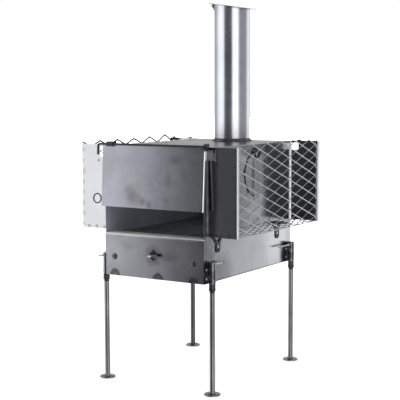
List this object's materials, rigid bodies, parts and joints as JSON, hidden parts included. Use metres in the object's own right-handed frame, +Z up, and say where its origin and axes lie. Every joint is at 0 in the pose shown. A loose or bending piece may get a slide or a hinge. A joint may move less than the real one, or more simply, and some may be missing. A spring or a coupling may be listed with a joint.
{
  "type": "rocket stove",
  "caption": "Box-bodied steel rocket stove on legs with lift-up front door, ash drawer, side mesh baskets, and a flue pipe with a tilted rain cap.",
  "frame": {"origin": "floor level, under the centre of the bounding box", "axes": "+Z up, -Y to the front (door and ash drawer), +X to the right as seen from the front"},
  "size_m": [0.58, 0.602, 1.2166],
  "materials": {
    "body_steel": "satin mill finish",
    "top_steel": "smooth, faintly heat tinted",
    "door_steel": "satin, faint heat tint",
    "front_steel": "satin, weld tint at lower edge",
    "basket_steel": "satin mill finish",
    "mesh_steel": "raw expanded metal",
    "pipe_steel": "polished stainless tube",
    "leg_steel": "dark drawn bar",
    "black_steel": "black",
    "grate_iron": "matt dark",
    "bright_fixings": "bright zinc"
  },
  "bodies": {
    "stove_body": {"basket_hook_front_left": "black_steel", "basket_hook_front_right": "black_steel", "basket_hook_rear_left": "black_steel", "basket_hook_rear_right": "black_steel", "basket_lug_front_left": "body_steel", "basket_lug_front_right": "body_steel", "basket_lug_rear_left": "body_steel", "basket_lug_rear_right": "body_steel", "bottom_plate": "body_steel", "door_bracket_left": "black_steel", "door_bracket_right": "black_steel", "fire_grate": "grate_iron", "flue_collar": "black_steel", "grate_rail_left": "body_steel", "grate_rail_right": "body_steel", "leg_socket_front_left": "black_steel", "leg_socket_front_right": "black_steel", "leg_socket_rear_left": "black_steel", "leg_socket_rear_right": "black_steel", "port_cover": "body_steel", "port_ring": "black_steel", "rear_panel": "body_steel", "side_panel_left": "body_steel", "side_panel_right": "body_steel", "top_plate": "top_steel"},
    "door": {"door_panel": "door_steel", "door_rod": "black_steel", "door_ring": "black_steel"},
    "ash_drawer": {"drawer_front": "front_steel", "drawer_tray": "body_steel", "drawer_rivet_left": "bright_fixings", "drawer_rivet_right": "bright_fixings", "latch_plate": "black_steel", "latch_stud": "bright_fixings"},
    "wing_nut": {"wing_nut": "bright_fixings"},
    "basket_left": {"basket_plate_front_left": "basket_steel", "basket_plate_rear_left": "basket_steel", "basket_mesh_left": "mesh_steel", "basket_floor_left": "mesh_steel", "basket_clip_left": "black_steel"},
    "basket_right": {"basket_plate_front_right": "basket_steel", "basket_plate_rear_right": "basket_steel", "basket_mesh_right": "mesh_steel", "basket_floor_right": "mesh_steel", "basket_clip_right": "black_steel"},
    "chimney": {"chimney_pipe": "pipe_steel", "cap_bracket": "black_steel"},
    "rain_cap": {"rain_cap": "pipe_steel"},
    "leg_fl": {"leg_front_left": "leg_steel", "foot_front_left": "black_steel"},
    "clamp_fl": {"clamp_screw_front_left": "bright_fixings"},
    "leg_fr": {"leg_front_right": "leg_steel", "foot_front_right": "black_steel"},
    "clamp_fr": {"clamp_screw_front_right": "bright_fixings"},
    "leg_rl": {"leg_rear_left": "leg_steel", "foot_rear_left": "black_steel"},
    "clamp_rl": {"clamp_screw_rear_left": "bright_fixings"},
    "leg_rr": {"leg_rear_right": "leg_steel", "foot_rear_right": "black_steel"},
    "clamp_rr": {"clamp_screw_rear_right": "bright_fixings"}
  },
  "joints": [
    {"name": "door_hinge", "type": "hinge", "parent": "stove_body", "child": "door", "pos_m": [0, -0.273, 0.755], "axis": [-1, 0, 0], "range_deg": [0, 110]},
    {"name": "ash_drawer_slide", "type": "slide", "parent": "stove_body", "child": "ash_drawer", "axis": [0, -1, 0], "range_m": [0, 0.42]},
    {"name": "wing_nut_turn", "type": "hinge", "parent": "ash_drawer", "child": "wing_nut", "pos_m": [0, -0.27, 0.415], "axis": [0, -1, 0], "continuous": true},
    {"name": "basket_left_lift", "type": "slide", "parent": "stove_body", "child": "basket_left", "axis": [0, 0, 1], "range_m": [0, 0.06]},
    {"name": "basket_right_lift", "type": "slide", "parent": "stove_body", "child": "basket_right", "axis": [0, 0, 1], "range_m": [0, 0.06]},
    {"name": "chimney_lift", "type": "slide", "parent": "stove_body", "child": "chimney", "axis": [0, 0, 1], "range_m": [0, 0.06]},
    {"name": "rain_cap_hinge", "type": "hinge", "parent": "chimney", "child": "rain_cap", "pos_m": [-0.071, 0.209, 1.2075], "axis": [0, -1, 0], "range_deg": [0, 100]},
    {"name": "leg_fl_extend", "type": "slide", "parent": "stove_body", "child": "leg_fl", "axis": [0, 0, 1], "range_m": [-0.06, 0]},
    {"name": "clamp_fl_turn", "type": "hinge", "parent": "stove_body", "child": "clamp_fl", "pos_m": [-0.199, -0.2435, 0.4], "axis": [0, 1, 0], "continuous": true},
    {"name": "leg_fr_extend", "type": "slide", "parent": "stove_body", "child": "leg_fr", "axis": [0, 0, 1], "range_m": [-0.06, 0]},
    {"name": "clamp_fr_turn", "type": "hinge", "parent": "stove_body", "child": "clamp_fr", "pos_m": [0.199, -0.2435, 0.4], "axis": [0, 1, 0], "continuous": true},
    {"name": "leg_rl_extend", "type": "slide", "parent": "stove_body", "child": "leg_rl", "axis": [0, 0, 1], "range_m": [-0.06, 0]},
    {"name": "clamp_rl_turn", "type": "hinge", "parent": "stove_body", "child": "clamp_rl", "pos_m": [-0.199, 0.2655, 0.4], "axis": [0, 1, 0], "continuous": true},
    {"name": "leg_rr_extend", "type": "slide", "parent": "stove_body", "child": "leg_rr", "axis": [0, 0, 1], "range_m": [-0.06, 0]},
    {"name": "clamp_rr_turn", "type": "hinge", "parent": "stove_body", "child": "clamp_rr", "pos_m": [0.199, 0.2655, 0.4], "axis": [0, 1, 0], "continuous": true}
  ]
}
